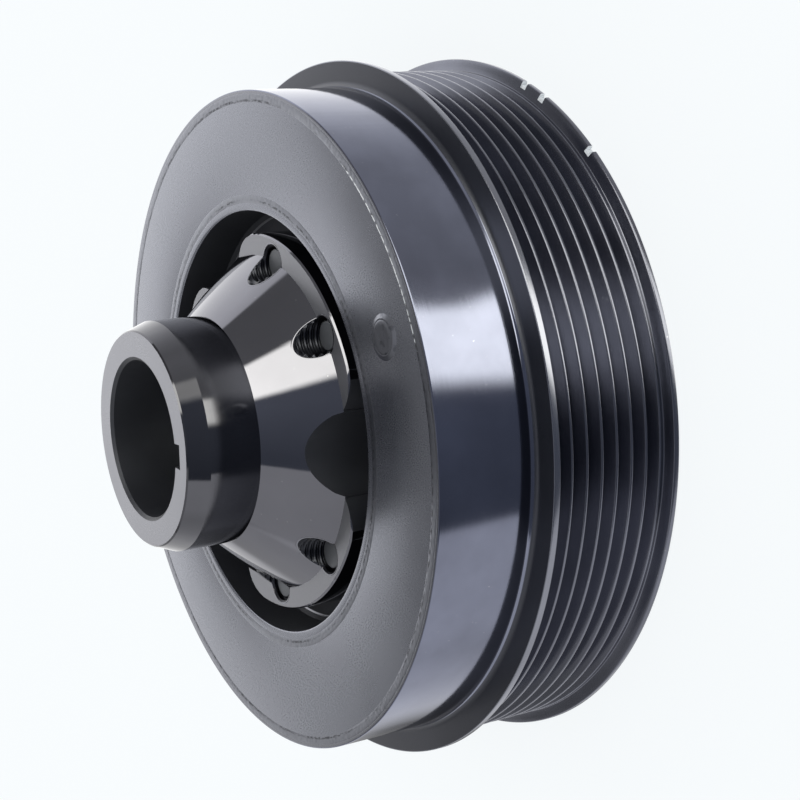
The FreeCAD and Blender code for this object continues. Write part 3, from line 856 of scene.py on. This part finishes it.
def make_world():
    """Brightness by direction: bright low down up to an edge, a slanted light strip and a dark card."""
    world = bpy.data.worlds.new("studio")
    bpy.context.scene.world = world
    world.use_nodes = True
    nodes = Nodes(world.node_tree)
    output = nodes.add("ShaderNodeOutputWorld")
    direction = nodes.add("ShaderNodeTexCoord").outputs["Generated"]
    split = nodes.add("ShaderNodeSeparateXYZ")
    nodes.link(direction, split.inputs[0])
    degrees = 180 / math.pi
    azimuth = nodes.times(nodes.math("ARCTAN2", split.outputs[1], split.outputs[0]), degrees)
    elevation = nodes.times(nodes.math("ARCSINE", split.outputs[2]), degrees)
    around = nodes.span(azimuth, -180, 180)
    low_stops = [
        (-180, 1.5), (-170, 1.35), (-158, 1.05), (-140, 1.0), (-127, 1.2), (-116, 1.2), (-104, 1.03),
        (-90, 0.92), (-76, 1.10), (-45, 1.15), (0, 0.8), (45, 0.5), (62, 0.6), (78, 0.68), (92, 0.66),
        (106, 0.92), (116, 1.2), (128, 1.55), (142, 1.65), (180, 1.5),
    ]
    high_stops = [
        (-180, 0.28), (-150, 0.25), (-128, 0.45), (-112, 0.7), (-45, 0.7), (0, 0.5), (50, 0.34),
        (110, 0.28), (135, 0.3), (160, 0.3), (180, 0.28),
    ]
    peak = 2.0
    shades = []
    for stops in (low_stops, high_stops):
        levels = ramp(nodes, around, [((angle + 180) / 360, bright / peak) for angle, bright in stops])
        shades.append(nodes.mix_color(1.0, levels, (peak, peak, peak), "MULTIPLY"))
    # The bright part ends at an edge that sinks a little on the right side
    turned = nodes.math("SUBTRACT", nodes.math("MODULO", nodes.math("ADD", azimuth, 360.0), 360.0), 180.0)
    edge = nodes.span(turned, -35, 35, 34.0, 23.5)
    sunk = nodes.times(nodes.span(azimuth, 112, 135, -14.0, 0.0), nodes.span(azimuth, 0, 20))
    edge = nodes.math("ADD", edge, sunk)
    above = nodes.span(nodes.math("SUBTRACT", elevation, edge), -1.6, 1.6, smooth=True)
    shade = nodes.mix_color(above, shades[0], shades[1])
    # Two dimmer parts of the surround, on the far side
    black = (0.0, 0.0, 0.0)
    grey = nodes.times(band(nodes, azimuth, -150, -112, 4.0), band(nodes, elevation, 1, 40, 3.0))
    shade = nodes.mix_color(nodes.times(grey, 0.4), shade, black)
    patch = nodes.times(nodes.span(azimuth, -140, -123, 1.0, 0.0), nodes.span(elevation, -27, -23, 1.0, 0.0))
    shade = nodes.mix_color(nodes.times(patch, 0.8), shade, black)
    shade = nodes.mix_color(nodes.span(elevation, 62, 80, smooth=True), shade, (0.5, 0.5, 0.52))
    # Dark card in front and the light strip beside it, both slanted
    rise = nodes.math("ADD", elevation, 32.0)
    left_edge = nodes.math("SUBTRACT", azimuth, nodes.times(rise, 0.33))
    right_edge = nodes.math("SUBTRACT", azimuth, nodes.times(rise, 0.46))
    low = nodes.span(elevation, 62, 78, 1.0, 0.0, smooth=True)
    between = band(nodes, elevation, 4, 26, 8.0)
    left_edge = nodes.math("SUBTRACT", left_edge, nodes.times(between, 13.0))
    right_edge = nodes.math("ADD", right_edge, nodes.times(between, 4.6))
    slant = nodes.times(nodes.span(elevation, -33, -27), nodes.span(elevation, -24, -10, 1.0, 0.0))
    right_edge = nodes.math("ADD", right_edge, nodes.times(slant, 9.0))
    low_edge = nodes.math("ADD", azimuth, nodes.times(rise, 0.13))
    dark = nodes.times(band(nodes, low_edge, -39, 300, 1.2), band(nodes, left_edge, -300, 9.5, 2.0), low)
    card = nodes.mix_color(nodes.span(azimuth, -40, 22), (0.145, 0.160, 0.195), (0.250, 0.270, 0.320))
    shade = nodes.mix_color(dark, shade, card)
    strip = nodes.times(
        band(nodes, left_edge, 6.5, 300, 4.2), band(nodes, right_edge, -300, 39, 2.8), low,
        nodes.span(between, 0, 1, 1.0, 0.28),
    )
    shade = nodes.mix_color(strip, shade, (4.5, 4.4, 3.9))
    path = nodes.add("ShaderNodeLightPath")
    mirrored = nodes.add("ShaderNodeBackground")
    nodes.put(mirrored, Color=shade, Strength=1.0)
    plain = nodes.add("ShaderNodeBackground")
    nodes.put(plain, Color=SURROUND, Strength=1.0)
    mix = nodes.add("ShaderNodeMixShader")
    nodes.link(path.outputs["Is Glossy Ray"], mix.inputs[0])
    nodes.link(plain.outputs[0], mix.inputs[1])
    nodes.link(mirrored.outputs[0], mix.inputs[2])
    nodes.link(mix.outputs[0], output.inputs["Surface"])


def make_floor():
    """White floor that keeps a faint shadow; polished steel mirrors the surround in its place."""
    reach = 6.0
    level = -0.0002
    mesh = bpy.data.meshes.new("floor")
    mesh.from_pydata(
        [(-reach, -reach, level), (reach, -reach, level), (reach, reach, level), (-reach, reach, level)],
        [], [(0, 1, 2, 3)],
    )
    floor = bpy.data.objects.new("floor", mesh)
    bpy.context.scene.collection.objects.link(floor)
    material, nodes, shader, place = new_material("floor_paper")
    nodes.put(shader, Roughness=0.9)
    fleck = nodes.noise(place, 400.0, 2.0)
    nodes.link(nodes.mix_color(fleck, (0.90, 0.93, 0.95), (0.92, 0.95, 0.97)), shader.inputs["Base Color"])
    white = nodes.add("ShaderNodeEmission")
    nodes.put(white, Color=SURROUND, Strength=1.0)
    mix = nodes.add("ShaderNodeMixShader")
    seen = nodes.add("ShaderNodeLightPath").outputs["Is Camera Ray"]
    nodes.link(nodes.times(seen, 0.88), mix.inputs[0])
    nodes.link(shader.outputs[0], mix.inputs[1])
    nodes.link(white.outputs[0], mix.inputs[2])
    output = next(node for node in material.node_tree.nodes if node.type == "OUTPUT_MATERIAL")
    nodes.link(mix.outputs[0], output.inputs["Surface"])
    mesh.materials.append(material)
    floor.visible_glossy = False


def make_camera():
    """Camera at the photograph's viewpoint, rolled so that the turning axis lies across it."""
    data = bpy.data.cameras.new("camera")
    data.sensor_width = 36.0
    data.lens = 72.17
    camera = bpy.data.objects.new("camera", data)
    bpy.context.scene.collection.objects.link(camera)
    right = Vector((0.51723, -0.10090, -0.84988))
    down = Vector((0.0, -0.99303, 0.11790))
    forward = Vector((-0.85585, -0.06098, -0.51362))
    turn = Matrix((right, -down, -forward)).transposed().to_4x4()
    camera.matrix_world = Matrix.Translation(Vector((309.21, 22.70, 201.42)) * MM) @ turn
    bpy.context.scene.camera = camera


make_housing()
make_cover()
make_weld("weld_bead_outer", OUTER_SEAM_R, "weld_outer")
make_weld("weld_bead_inner", INNER_SEAM_R, "weld_inner")
make_plug()
make_hub()
make_threads()
make_lips()
make_screw_ends()
dress_nodes()
make_world()
make_floor()
make_camera()
bpy.context.scene.view_settings.view_transform = "Standard"
